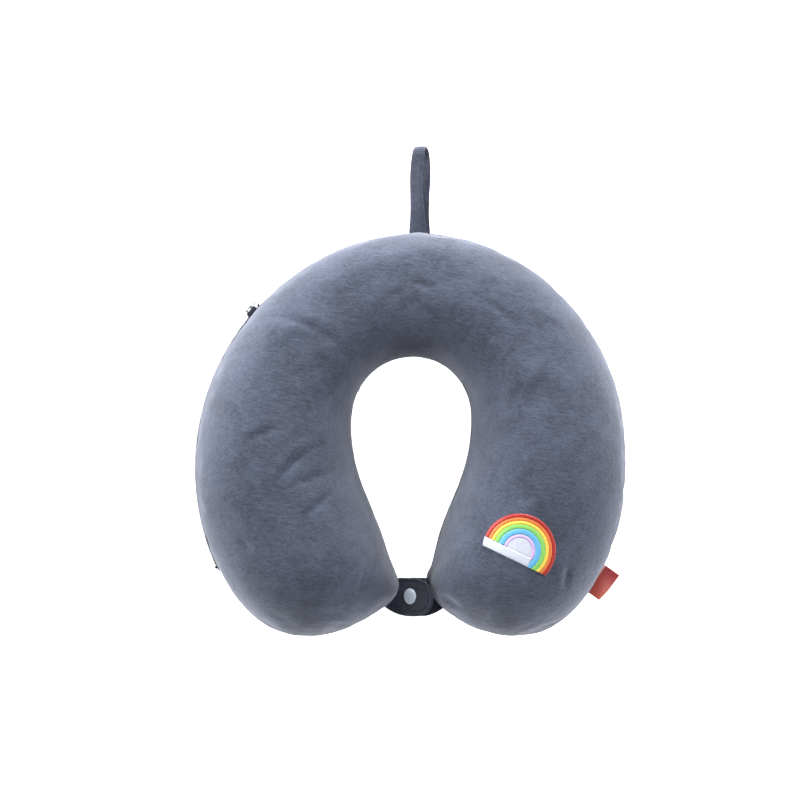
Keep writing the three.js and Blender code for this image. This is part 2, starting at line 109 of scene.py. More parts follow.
# Where the cover is drawn out by what is sewn into its seam: x, y, towards x, y, how far, how wide
PULLS = (
    (5.6, 110, 0, 1, 1.8, 8),
    (14.5, -130, -1, 0.25, 3.4, 6),
)

# The zip, on the arc that its slider travels
ZIP_CENTRE = Vector(JOINTS["zip_travel"]["pos_m"])
ZIP_RADIUS = ZIP_CENTRE.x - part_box("zip_coil_upper")[0].x - 0.5 * MM
ZIP_FROM = math.radians(137.6)  # angles about the arc's centre, from +X
ZIP_TO = math.radians(204)
ZIP_OPENING = 2.6 * MM  # half the height of the slit that the tapes show through
ZIP_END = math.radians(2.5)
COIL_PITCH = 1.35 * MM
COIL_WIRE = 0.28 * MM
COIL_SET_IN = 0.9 * MM  # from the arc to the middle of the coil's winding

# The hanging loop: a strap folded over, its width turning away from level as it rises
LOOP_LOW, LOOP_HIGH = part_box("hang_loop")
LOOP_WIDTH = 11 * MM
LOOP_THICKNESS = 1.9 * MM
LOOP_BASE = 1.0 * MM  # from the loop's middle to the middle of a strand at its sewn end
LOOP_OPEN = 5.7 * MM  # and near the top
LOOP_TURN = math.radians(38)  # how far the strands turn out of level halfway up
LOOP_FAN = 1.35 * MM  # how far each strand is sewn off the middle
LOOP_LEAN = (0.75 * MM, 0.85 * MM)

# The snap's caps
SNAP_TILT = math.radians(42)
CAP_PROFILE = (  # radius and height over the middle of the tab
    (5.25, 1.35), (5.45, 1.5), (5.5, 1.8), (5.35, 2.1), (4.85, 2.5), (3.9, 2.8), (2.7, 2.98), (1.4, 3.06),
)
CAP_TOP = 3.0 * MM  # from the middle of the tab to the top of the CAD cap
TAB_GROOVE = (2.6 * MM, 0.7 * MM, 0.35 * MM)  # place from the edge, width and depth

# The woven label
LABEL_ANGLE = math.radians(-36)
LABEL_FREE_EDGE = Vector((0.1394, -0.1386))
LABEL_WIDTH = 22.5 * MM
LABEL_LENGTH = 12.6 * MM
LABEL_CURL = math.radians(34)

# The rainbow patch: rings round a pale field, cut off by a chord, with a pale strip on the chord
PATCH_PLACE = Vector((0.0728, -0.1099))
PATCH_TURN = math.radians(-25.7)
PATCH_CHORD = -8.0 * MM
STRIP_TOP = -1.6 * MM
STRIP_END = 9.8 * MM
FIELD_RADIUS = 8.4 * MM
BAND_GAP = 0.06 * MM
BANDS = (  # name, outer radius in millimetres, colour
    ("red", 24.9, (0.34, 0.018, 0.014)),
    ("orange", 22.3, (0.60, 0.155, 0.03)),
    ("yellow", 20.1, (0.68, 0.52, 0.07)),
    ("green", 17.8, (0.20, 0.48, 0.10)),
    ("blue", 14.7, (0.10, 0.36, 0.60)),
    ("lilac", 10.8, (0.47, 0.36, 0.60)),
)
PATCH_RIM = BANDS[0][1] * MM
PALE_THREAD_COLOUR = (0.47, 0.50, 0.58)

# Studio: the brightness of the world overhead and at the horizon, and soft lights round the pillow
WORLD_ZENITH = 0.5
WORLD_HORIZON = 0.55
LIGHT_DISTANCE = 2.9
LIGHT_SIZE = 0.9
LIGHTS = (  # degrees round from +X, degrees above level, power
    ("left", 160, 25, 100),
    ("back_left", 135, 12, 40),
    ("back", 90, 12, 130),
    ("right", 0, 12, 60),
    ("high_right", 45, 45, 40),
)
FLOOR_GLOW = 1.2  # the floor is a light table

CAMERA_TARGET = Vector((-0.0073, -0.0071, SEAM_Z))
CAMERA_DISTANCE = 3.2
CAMERA_LEAN = math.radians(1.8)  # it stands this far left of straight above
VIEW_WIDTH = 0.5576  # how much it sees across, at its target

VELOUR_COLOUR = (0.042, 0.050, 0.076)
# The tabs' velour: a darker copy of the cover's velour, painted shade of the hollow between the legs where
# the tabs lie
SHADED_TAB_VELOUR_COLOUR = (0.016, 0.019, 0.032)


# Mesh helpers

def new_object(name, mesh):
    obj = bpy.data.objects.new(name, mesh)
    bpy.context.scene.collection.objects.link(obj)
    return obj


def mesh_from(name, points, faces):
    mesh = bpy.data.meshes.new(name)
    mesh.from_pydata([tuple(p) for p in points], [], faces)
    mesh.validate()
    mesh.update()
    mesh.shade_smooth()
    return new_object(name, mesh)


def grid_faces(rows, columns, round_rows=False, round_columns=False):
    """Faces of a grid whose point i, j is number i * columns + j."""
    faces = []
    for i in range(rows if round_rows else rows - 1):
        for j in range(columns if round_columns else columns - 1):
            k, m = (i + 1) % rows, (j + 1) % columns
            faces.append((i * columns + j, k * columns + j, k * columns + m, i * columns + m))
    return faces


def face_outward(obj):
    mesh = bmesh.new()
    mesh.from_mesh(obj.data)
    bmesh.ops.recalc_face_normals(mesh, faces=mesh.faces)
    mesh.to_mesh(obj.data)
    mesh.free()
    return obj


def swept(name, rings, closed=False):
    """A solid through closed rings of points, capped at both ends unless it closes on itself."""
    columns = len(rings[0])
    faces = grid_faces(len(rings), columns, closed, True)
    if not closed:
        faces.append(tuple(range(columns)))
        faces.append(tuple(range((len(rings) - 1) * columns, len(rings) * columns)))
    return face_outward(mesh_from(name, [point for ring in rings for point in ring], faces))


def points_of(obj):
    flat = np.empty(len(obj.data.vertices) * 3, np.float32)
    obj.data.vertices.foreach_get("co", flat)
    return flat.reshape(-1, 3).astype(float)


def set_points(obj, points):
    obj.data.vertices.foreach_set("co", np.asarray(points, np.float32).ravel())
    obj.data.update()


def normals_of(obj):
    flat = np.empty(len(obj.data.vertices) * 3, np.float32)
    obj.data.vertices.foreach_get("normal", flat)
    return flat.reshape(-1, 3).astype(float)


def select_only(obj):
    bpy.ops.object.select_all(action="DESELECT")
    obj.select_set(True)
    bpy.context.view_layer.objects.active = obj


def modify(obj, kind, **settings):
    modifier = obj.modifiers.new(kind.lower(), kind)
    for key, value in settings.items():
        setattr(modifier, key, value)
    return modifier


def apply_modifiers(obj):
    select_only(obj)
    for modifier in list(obj.modifiers):
        bpy.ops.object.modifier_apply(modifier=modifier.name)


def neighbour_mean(obj, values, rounds):
    """Values at the vertices, averaged with their neighbours' over and over."""
    edges = np.empty(len(obj.data.edges) * 2, np.int64)
    obj.data.edges.foreach_get("vertices", edges)
    a, b = edges[0::2], edges[1::2]
    count = np.zeros(len(values))
    np.add.at(count, a, 1)
    np.add.at(count, b, 1)
    count = np.maximum(count, 1)
    for _ in range(rounds):
        total = np.zeros_like(values)
        np.add.at(total, a, values[b])
        np.add.at(total, b, values[a])
        values = 0.5 * values + 0.5 * total / count[:, None]
    return values


def tree_of(*objs):
    points, faces = [], []
    for obj in objs:
        start = len(points)
        points += [v.co.copy() for v in obj.data.vertices]
        faces += [[start + i for i in p.vertices] for p in obj.data.polygons]
    return BVHTree.FromPolygons(points, faces)


def stand_for(obj, node, material):
    """obj is shown in place of a CAD node, with the given material, and the node is hidden."""
    obj.data.materials.clear()
    obj.data.materials.append(material)
    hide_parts(node)


def smooth_step(value):
    value = np.clip(value, 0, 1)
    return value * value * (3 - 2 * value)


# Cover

def body_shape():
    """The whole pillow as one closed, evenly meshed skin, grown out from the foam core."""
    skin = new_object("skin", frame["nodes"]["foam_core"].data.copy())
    select_only(skin)
    bpy.ops.object.mode_set(mode="EDIT")
    bpy.ops.mesh.select_all(action="SELECT")
    bpy.ops.mesh.remove_doubles(threshold=0.01 * MM)
    bpy.ops.mesh.tris_convert_to_quads(
        face_threshold=math.radians(60), shape_threshold=math.radians(70)
    )
    bpy.ops.object.mode_set(mode="OBJECT")
    modify(skin, "SUBSURF", levels=2)
    apply_modifiers(skin)
    skin.data.shade_smooth()
    set_points(skin, points_of(skin) + normals_of(skin) * (LAYER_DEPTH + ROUNDING_LOSS))
    modify(skin, "REMESH", mode="VOXEL", voxel_size=VOXEL)
    apply_modifiers(skin)
    points = points_of(skin)
    points = 0.25 * points + 0.75 * neighbour_mean(skin, points, 2)
    points[:, 2] = np.maximum(points[:, 2], 0)
    set_points(skin, points)
    return skin


def simulate_cloth(skin):
    """Blows the skin up as slack cloth held along the seam."""
    pins = skin.vertex_groups.new(name="pins")
    heights = points_of(skin)[:, 2]
    pins.add([int(i) for i in np.flatnonzero(abs(heights - SEAM_Z) < SEAM_PIN)], 1.0, "REPLACE")
    cloth = skin.modifiers.new("cloth", "CLOTH")
    settings = cloth.settings
    settings.quality = 5
    settings.mass = 0.3
    settings.tension_stiffness = 12
    settings.compression_stiffness = 12
    settings.shear_stiffness = 6
    settings.bending_stiffness = 0.4
    settings.use_pressure = True
    settings.uniform_pressure_force = PUFF_PRESSURE
    settings.shrink_min = PUFF_SLACK
    settings.vertex_group_mass = "pins"
    settings.effector_weights.gravity = 0
    cloth.collision_settings.use_collision = False
    cloth.point_cache.frame_end = PUFF_FRAMES
    for step in range(1, PUFF_FRAMES + 1):
        bpy.context.scene.frame_set(step)
    apply_modifiers(skin)
    bpy.context.scene.frame_set(1)


def facing_opening(points, normals):
    """1 where the cover faces the neck opening, 0 where it faces away from it."""
    middle = np.stack([np.full(len(points), OPENING_X), np.clip(points[:, 1], *OPENING_Y)], axis=1)
    away = points[:, :2] - middle
    away /= np.maximum(np.linalg.norm(away, axis=1, keepdims=True), 1e-6)
    return smooth_step(-np.sum(normals[:, :2] * away, axis=1) * 1.5)


def keep_swells(skin, before):
    """Leaves the cloth's small swells and creases and puts its broad shape back."""
    moved = points_of(skin) - before
    moved -= neighbour_mean(skin, moved, 60)
    set_points(skin, before)
    normals = normals_of(skin)
    height = np.sum(moved * normals, axis=1, keepdims=True)
    along = moved - height * normals
    share = PUFF_SHARE * (1 - (1 - PUFF_INNER_SHARE) * facing_opening(before, normals))[:, None]
    height = np.clip(height, -PUFF_IN, PUFF_OUT) * share
    set_points(skin, before + 0.5 * along * share + height * normals)


def add_creases(skin):
    points = points_of(skin)
    normals = normals_of(skin)
    upward = smooth_step(normals[:, 2] * 2)
    for x, y, turn, half, depth in CREASES:
        turn = math.radians(turn)
        dx, dy = points[:, 0] - x * MM, points[:, 1] - y * MM
        along = dx * math.cos(turn) + dy * math.sin(turn)
        across = dy * math.cos(turn) - dx * math.sin(turn) + CREASE_BEND * along ** 2
        fade = np.maximum(1 - (along / (half * MM)) ** 2, 0) * upward
        valley = np.exp(-((across / CREASE_WIDTH) ** 2))
        ridge = np.exp(-(((across - 2.2 * CREASE_WIDTH) / (1.6 * CREASE_WIDTH)) ** 2))
        points += normals * (depth * MM * fade * (CREASE_RIDGE * ridge - valley))[:, None]
    set_points(skin, points)


def draw_out(skin):
    points = points_of(skin)
    for x, y, to_x, to_y, amount, reach in PULLS:
        gap = (points - (x * MM, y * MM, SEAM_Z)) / (reach * MM)
        share = np.exp(-np.sum(gap ** 2, axis=1))
        points += share[:, None] * np.array((to_x, to_y, 0)) * amount * MM
    set_points(skin, points)


def puffed_skin():
    skin = body_shape()
    before = points_of(skin)
    simulate_cloth(skin)
    keep_swells(skin, before)
    modify(skin, "SUBSURF", levels=1)
    apply_modifiers(skin)
    add_creases(skin)
    draw_out(skin)
    points = points_of(skin)
    points[:, 2] = np.maximum(points[:, 2], 0)
    set_points(skin, points)
    return skin


def zip_share(points):
    """1 beside the open part of the zip, 0 well away from it."""
    x, y = points[:, 0] - ZIP_CENTRE.x, points[:, 1] - ZIP_CENTRE.y
    angle = np.mod(np.arctan2(y, x), 2 * math.pi)
    inside = np.minimum(angle - ZIP_FROM, ZIP_TO - angle)
    near = np.hypot(x, y) > ZIP_RADIUS - 12 * MM
    return smooth_step(inside / ZIP_END + 1) * near


def roll_edge(half, side):
    """Turns the half's edge in along the seam, and spreads it where the zip's slit is."""
    points = points_of(half)
    normals = normals_of(half)
    level = normals * (1, 1, 0)
    level /= np.maximum(np.linalg.norm(level, axis=1, keepdims=True), 1e-6)
    above = np.abs(points[:, 2] - SEAM_Z)
    share = zip_share(points)
    depth = GROOVE_DEPTH * np.exp(-((above / GROOVE_WIDTH) ** 2))
    points -= level * depth[:, None]
    points[:, 2] += side * ZIP_OPENING * share * np.exp(-above / (4 * MM))
    points[:, 2] += side * SEAM_LIFT * (above < SEAM_EDGE)
    liners = tree_of(frame["nodes"]["liner_top"], frame["nodes"]["liner_bottom"])
    set_points(half, keep_off(points, level, above < SEAM_BAND, liners, LINER_CLEARANCE))


def keep_off(points, level, beside_seam, tree, clearance):
    """Moves the points that are inside a closed surface, or nearly touch it, out of it. Beside the
    seam they move level, so that the two halves still meet."""
    for i, point in enumerate(points):
        nearest, normal, _, distance = tree.find_nearest(Vector(point), 8 * MM)
        if nearest is None:
            continue
        inside = (Vector(point) - nearest).dot(normal) < 0
        short = clearance + distance if inside else clearance - distance
        if short > 0:
            points[i] += (level[i] if beside_seam[i] else np.array(normal)) * min(short, 2 * clearance)
    return points


def add_allowance(half, side):
    """The seam allowance: a strip that runs in from the half's edge to the liner, and farther in
    behind the zip."""
    mesh = bmesh.new()
    mesh.from_mesh(half.data)
    mesh.normal_update()
    rim = [edge for edge in mesh.edges if edge.is_boundary]
    level = {}
    for edge in rim:
        for vertex in edge.verts:
            level[vertex.co.to_tuple(6)] = Vector((vertex.normal.x, vertex.normal.y, 0)).normalized()
    made = bmesh.ops.extrude_edge_only(mesh, edges=rim)
    for vertex in (item for item in made["geom"] if isinstance(item, bmesh.types.BMVert)):
        beside_zip = float(zip_share(np.array([vertex.co]))[0])
        reach = LINER_CLEARANCE + (SEAM_ALLOWANCE - LINER_CLEARANCE) * beside_zip
        vertex.co -= level[vertex.co.to_tuple(6)] * reach
        vertex.co.z += side * 0.2 * MM * beside_zip
    mesh.to_mesh(half.data)
    mesh.free()


def half_of(skin, name, side):
    """The part of the skin above (side 1) or below (side -1) the seam."""
    half = new_object(name, skin.data.copy())
    mesh = bmesh.new()
    mesh.from_mesh(half.data)
    bmesh.ops.bisect_plane(
        mesh,
        geom=mesh.verts[:] + mesh.edges[:] + mesh.faces[:],
        dist=0.3 * MM,
        plane_co=(0, 0, SEAM_Z),
        plane_no=(0, 0, -side),
        clear_outer=True,
    )
    mesh.to_mesh(half.data)
    mesh.free()
    roll_edge(half, side)
    add_allowance(half, side)
    half.data.shade_smooth()
    return half


def build_cover():
    skin = puffed_skin()
    pile = velour("cover_velour", VELOUR_COLOUR)
    halves = []
    for name, side in (("cover_top", 1), ("cover_bottom", -1)):
        half = half_of(skin, name, side)
        stand_for(half, f"{name}_panel", pile)
        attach(half, "pillow")
        halves.append(half)
    bpy.data.objects.remove(skin)
    return halves


def tuck_in(obj, cover, side, reach, depth):
    """Draws the root of a tab, which ends beside the cover, on into its seam."""
    points = points_of(obj)
    for i in np.flatnonzero(points[:, 0] * side < 0):
        point = points[i]
        nearest, _, _, distance = cover.find_nearest(Vector(point))
        if distance < reach:
            inward = (nearest - Vector(point)).normalized()
            inward.z *= 0.2
            points[i] += np.array(inward) * (distance + depth) * (1 - distance / reach) ** 0.5
    set_points(obj, points)


# Zip

def on_arc(angle, out, up):
    radius = ZIP_RADIUS + out
    return (
        ZIP_CENTRE.x + radius * math.cos(angle),
        ZIP_CENTRE.y + radius * math.sin(angle),
        SEAM_Z + up,
    )


def coil(side):
    """A nylon coil wound along one tape."""
    steps = 12
    turns = int((ZIP_TO - ZIP_FROM) * ZIP_RADIUS / COIL_PITCH)
    rings = []
    for i in range(turns * steps + 1):
        turn = 2 * math.pi * i / steps
        angle = ZIP_FROM + (ZIP_TO - ZIP_FROM) * i / (turns * steps)
        out = 0.5 * MM * math.sin(turn) - COIL_SET_IN
        up = side * (1.2 * MM - 0.95 * MM * math.cos(turn))
        centre = Vector(on_arc(angle, out, up))
        outward = Vector((math.cos(angle), math.sin(angle), 0))
        upward = Vector((0, 0, 1))
        spoke = (outward * math.sin(turn) - upward * side * math.cos(turn)).normalized()
        across = Vector((-math.sin(angle), math.cos(angle), 0))
        ring = []
        for k in range(6):
            round_ = 2 * math.pi * k / 6
            ring.append(centre + COIL_WIRE * (math.cos(round_) * spoke + math.sin(round_) * across))
        rings.append(ring)
    return swept(f"zip_coil_{'upper' if side > 0 else 'lower'}_wire", rings)


def build_zip():
    nylon = plain("zip_nylon", (0.022, 0.026, 0.04), Roughness=0.55, Specular_IOR_Level=0.3)
    tape = woven("zip_tape", (0.018, 0.021, 0.034), 2600)
    enamel = plain("zip_enamel", (0.026, 0.03, 0.045), Roughness=0.6, Specular_IOR_Level=0.2)
    pull = plain("zip_pull_enamel", (0.10, 0.11, 0.145), Roughness=0.6, Specular_IOR_Level=0.2)
    for side, name in ((1, "upper"), (-1, "lower")):
        wire = coil(side)
        stand_for(wire, f"zip_coil_{name}", nylon)
        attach(wire, "pillow")
        paint(f"zip_tape_{name}", tape)
        paint(f"zip_top_stop_{name}", enamel, 0.15 * MM)
    paint("zip_bottom_stop", enamel, 0.3 * MM)
    paint("zip_slider", enamel, 0.35 * MM)
    paint("zip_pull_tab", pull, 0.2 * MM)


def paint(node, material, bevel=0.0):
    """Shows a CAD node as it is, with a material and softly rounded edges."""
    obj = frame["nodes"][node]
    obj.data.materials.clear()
    obj.data.materials.append(material)
    if bevel:
        modify(obj, "WELD", merge_threshold=0.005 * MM)
        modify(obj, "BEVEL", width=bevel, segments=3, limit_method="ANGLE", angle_limit=math.radians(35))
    return obj


# Hanging loop

def strap_section(width, thickness, count=20):
    """A flat strap's section, with round edges and slightly full faces."""
    ring = []
    for k in range(count):
        turn = 2 * math.pi * k / count
        across = math.copysign(abs(math.cos(turn)) ** 0.55, math.cos(turn))
        out = math.copysign(abs(math.sin(turn)) ** 0.7, math.sin(turn))
        ring.append((across * width / 2, out * thickness / 2))
    return ring


def loop_ring(share, rise, offset, direction, flare, side):
    """A ring of the strap: share is how far up the loop it is, side which strand it is in."""
    turn = LOOP_TURN * math.sin(0.82 * math.pi * share)
    middle = (LOOP_LOW + LOOP_HIGH) / 2
    sideways = LOOP_LEAN[0] + LOOP_LEAN[1] * share ** 2 - side * LOOP_FAN * (1 - share)
    ring = []
    for across, out in strap_section(LOOP_WIDTH * flare, LOOP_THICKNESS):
        depth = offset + out * math.cos(direction)
        height = rise + out * math.sin(direction)
        ring.append(Vector((
            middle.x + sideways + across * math.cos(turn) - depth * math.sin(turn),
            LOOP_LOW.y + height,
            middle.z + across * math.sin(turn) + depth * math.cos(turn),
        )))
    return ring


def build_loop():
    top = LOOP_HIGH.y - LOOP_LOW.y - LOOP_THICKNESS / 2 - LOOP_OPEN
    steps = 40

    def strand(side):
        rings = []
        for i in range(steps):
            rise = -5 * MM + (top + 5 * MM) * i / steps
            share = max(rise / top, 0)
            offset = LOOP_BASE + (LOOP_OPEN - LOOP_BASE) * float(smooth_step(share))
            flare = 1 + 0.1 * math.exp(-((rise / (6 * MM)) ** 2)) - 0.15 * float(smooth_step(share))
            direction = 0 if side > 0 else math.pi
            rings.append(loop_ring(share, rise, side * offset, direction, flare, side))
        return rings

    over = []
    for i in range(17):
        turn = math.pi * i / 16
        rise = top + LOOP_OPEN * math.sin(turn)
        flare = 0.85 - 0.12 * math.sin(turn)
        over.append(loop_ring(1, rise, LOOP_OPEN * math.cos(turn), turn, flare, 0))
    loop = swept("hanging_loop", strand(1) + over + strand(-1)[::-1])
    stand_for(loop, "hang_loop", velour("loop_velour", (0.032, 0.037, 0.057)))
    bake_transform(loop)


# Closure

def softened(node, name, voxel):
    """A soft, round-edged copy of a flat CAD piece."""
    obj = new_object(name, frame["nodes"][node].data.copy())
    modify(obj, "REMESH", mode="VOXEL", voxel_size=voxel)
    apply_modifiers(obj)
    points = points_of(obj)
    obj.data.shade_smooth()
    set_points(obj, neighbour_mean(obj, points, 4))
    set_points(obj, points_of(obj) + normals_of(obj) * 0.25 * MM)
    return obj


def press_groove(tab, axis):
    """A shallow groove along the tab's edge, where its two faces are turned and pressed."""
    points = points_of(tab)
    normals = normals_of(tab)
    facing = np.abs(normals @ np.array(axis))
    rim = KDTree(int(np.sum(facing < 0.35)))
    for point in points[facing < 0.35]:
        rim.insert(Vector(point), 0)
    rim.balance()
    place, width, depth = TAB_GROOVE
    for i in np.flatnonzero(facing > 0.8):
        _, _, distance = rim.find(Vector(points[i]))
        points[i] -= normals[i] * depth * math.exp(-(((distance - place) / width) ** 2))
    set_points(tab, points)


def snap_cap(name, node, side):
    """A domed cap on the outside of a tab."""
    across = Vector((math.cos(SNAP_TILT), 0, math.sin(SNAP_TILT)))
    axis = Vector((-math.sin(SNAP_TILT), 0, math.cos(SNAP_TILT))) * side
    along = axis.cross(across)
    low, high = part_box(node)
    top = max(Vector(v.co).dot(axis) for v in frame["nodes"][node].data.vertices)
    centre = (low + high) / 2
    base = centre + axis * (top - centre.dot(axis) - CAP_TOP)
    segments = 48
    rings = []
    for radius, height in CAP_PROFILE:
        ring = []
        for k in range(segments):
            turn = 2 * math.pi * k / segments
            spoke = across * math.cos(turn) + along * math.sin(turn)
            ring.append(base + MM * (radius * spoke + height * axis))
        rings.append(ring)
    return swept(name, rings)


def build_closure(cover):
    plastic = plain("snap_plastic", (0.50, 0.57, 0.66), Roughness=0.33, Coat_Weight=0.3)
    # painted shade: the tabs get a darker copy of the cover's velour
    painted_shade_velour = velour("tab_velour_painted_shade", SHADED_TAB_VELOUR_COLOUR)
    for side, name in ((1, "left"), (-1, "right")):
        tab = softened(f"closure_tab_{name}", f"tab_{name}", 0.6 * MM)
        press_groove(tab, (-math.sin(SNAP_TILT), 0, math.cos(SNAP_TILT)))
        tuck_in(tab, cover, side, 2.2 * MM, 3 * MM)
        stand_for(tab, f"closure_tab_{name}", painted_shade_velour)
        axis = Vector(JOINTS[f"tab_{name}_bend"]["axis"])
        outward = axis.cross(Vector((0, 0, 1))) * -1
        outward *= math.copysign(1, outward.x) * side
        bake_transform(tab)
        cap = snap_cap(f"snap_cap_{name}_dome", f"snap_cap_{name}", side)
        stand_for(cap, f"snap_cap_{name}", plastic)
        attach(cap, f"tab_{name}")
    paint("snap_socket", plastic, 0.15 * MM)
    paint("snap_stud", plastic, 0.15 * MM)


# Label

def label_ring(share, root, axis, outward):
    """The label's section at one place along its width: two plies that meet in a fold."""
    count = 20
    path = [(i / count, 1) for i in range(count)] + [(i / count, -1) for i in range(count, -1, -1)]
    curl = LABEL_CURL * (0.5 - share) ** 1.5
    ring = []
    for reach, face in path:
        gap = 0.28 * MM * (1 - reach ** 8) + 0.3 * MM * math.sin(math.pi * min(reach * 1.05, 1))
        out = reach * LABEL_LENGTH
        wave = 0.35 * MM * math.sin(4 * share + 4 * reach) * reach
        point = root + axis * share * LABEL_WIDTH + outward * (out * math.cos(curl) - 2.5 * MM * (1 - reach))
        ring.append(point + Vector((0, 0, out * math.sin(curl) + wave + face * gap)))
    return ring


def build_label():
    """A woven label folded at its free end, curling up towards the end of the leg."""
    outward = Vector((math.cos(LABEL_ANGLE), math.sin(LABEL_ANGLE), 0))
    axis = Vector((-outward.y, outward.x, 0))
    root = LABEL_FREE_EDGE.to_3d() + Vector((0, 0, SEAM_Z)) - outward * LABEL_LENGTH
    columns = 24
    label = swept("woven_label", [
        label_ring(j / columns - 0.5, root, axis, outward) for j in range(columns + 1)
    ])
    stand_for(label, "side_label", label_satin(root, outward))
    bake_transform(label)


# Patch

def patch_place(u, v):
    turn = Matrix.Rotation(PATCH_TURN, 2)
    return PATCH_PLACE + turn @ Vector((u, v))


def laid_on(name, columns, cover, low, high, bulge=0.0):
    """A piece laid on the cover. columns holds lines of patch points (u, v) across the piece, one
    after another along it. It is from low to high above the cover, and fuller in the middle."""
    across = len(columns[0])
    top, base = [], []
    for column in columns:
        for j, (u, v) in enumerate(column):
            x, y = patch_place(u, v)
            hit, normal, _, _ = cover.ray_cast(Vector((x, y, 0.2)), Vector((0, 0, -1)))
            crown = bulge * math.sqrt(max(0.0, 1 - (2 * j / (across - 1) - 1) ** 2))
            edge_drop = 0.12 * MM if j in (0, across - 1) else 0
            top.append(hit + normal * (high + crown - edge_drop))
            base.append(hit + normal * low)
    rings = []
    for i in range(len(columns)):
        row = slice(i * across, (i + 1) * across)
        rings.append(top[row] + base[row][::-1])
    return swept(name, rings)


def ring_start(radius):
    """The angle at which a ring of the patch comes out from the chord or the strip's end."""
    on_chord = math.asin(PATCH_CHORD / radius) if radius > -PATCH_CHORD else -math.pi / 2
    beside_strip = -math.acos((STRIP_END + BAND_GAP) / radius) if radius > STRIP_END + BAND_GAP else 0
    over_strip = math.asin((STRIP_TOP + BAND_GAP) / radius)
    return max(on_chord, min(beside_strip, over_strip))


def ring_columns(inner, outer, across=7):
    """Lines across a ring of the patch, from its start over to the strip's upper edge."""
    steps = max(60, int(outer / MM * 8))
    columns = []
    for i in range(steps + 1):
        column = []
        for j in range(across):
            radius = inner + (outer - inner) * j / (across - 1)
            start = ring_start(radius)
            end = math.pi - math.asin((STRIP_TOP + BAND_GAP) / radius)
            turn = start + (end - start) * i / steps
            column.append((radius * math.cos(turn), radius * math.sin(turn)))
        columns.append(column)
    return columns


def strip_columns(across=9, steps=50):
    columns = []
    for i in range(steps + 1):
        column = []
        for j in range(across):
            v = PATCH_CHORD + (STRIP_TOP - PATCH_CHORD) * j / (across - 1)
            left = -math.sqrt(PATCH_RIM ** 2 - v ** 2)
            column.append((left + (STRIP_END - left) * i / steps, v))
        columns.append(column)
    return columns


def disc_columns(radius, low, across=21, steps=72):
    """Lines across what a level cut at `low` leaves of a disc."""
    columns = []
    for i in range(steps + 1):
        u = -radius * math.cos(math.pi * i / steps) * 0.9995
        top = math.sqrt(radius ** 2 - u ** 2)
        foot = max(low, -top)
        columns.append([(u, foot + (top - foot) * j / (across - 1)) for j in range(across)])
    return columns


def build_patch(cover):
    pale = thread("thread_pale", PALE_THREAD_COLOUR, False)
    ground = laid_on(
        "patch_ground", disc_columns(PATCH_RIM, PATCH_CHORD - 0.1 * MM), cover, -0.2 * MM, 0.4 * MM
    )
    field = laid_on(
        "patch_middle", disc_columns(FIELD_RADIUS, STRIP_TOP + BAND_GAP), cover, 0.2 * MM, 0.75 * MM
    )
    strip = laid_on("patch_strip", strip_columns(), cover, 0.2 * MM, 0.8 * MM, 0.1 * MM)
    flat = (("patch_backing", ground), ("patch_field", field), ("patch_base_strip", strip))
    pieces = [(node, obj, pale) for node, obj in flat]
    for i, (name, outer, colour) in enumerate(BANDS):
        inner = BANDS[i + 1][1] * MM if i + 1 < len(BANDS) else FIELD_RADIUS
        columns = ring_columns(inner + BAND_GAP / 2, outer * MM - BAND_GAP / 2)
        band = laid_on(f"patch_{name}", columns, cover, 0.2 * MM, 0.75 * MM, 0.18 * MM)
        pieces.append((f"patch_band_{name}", band, thread(f"thread_{name}", colour, True)))
    for node, obj, material in pieces:
        stand_for(obj, node, material)
        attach(obj, "pillow")


# Materials

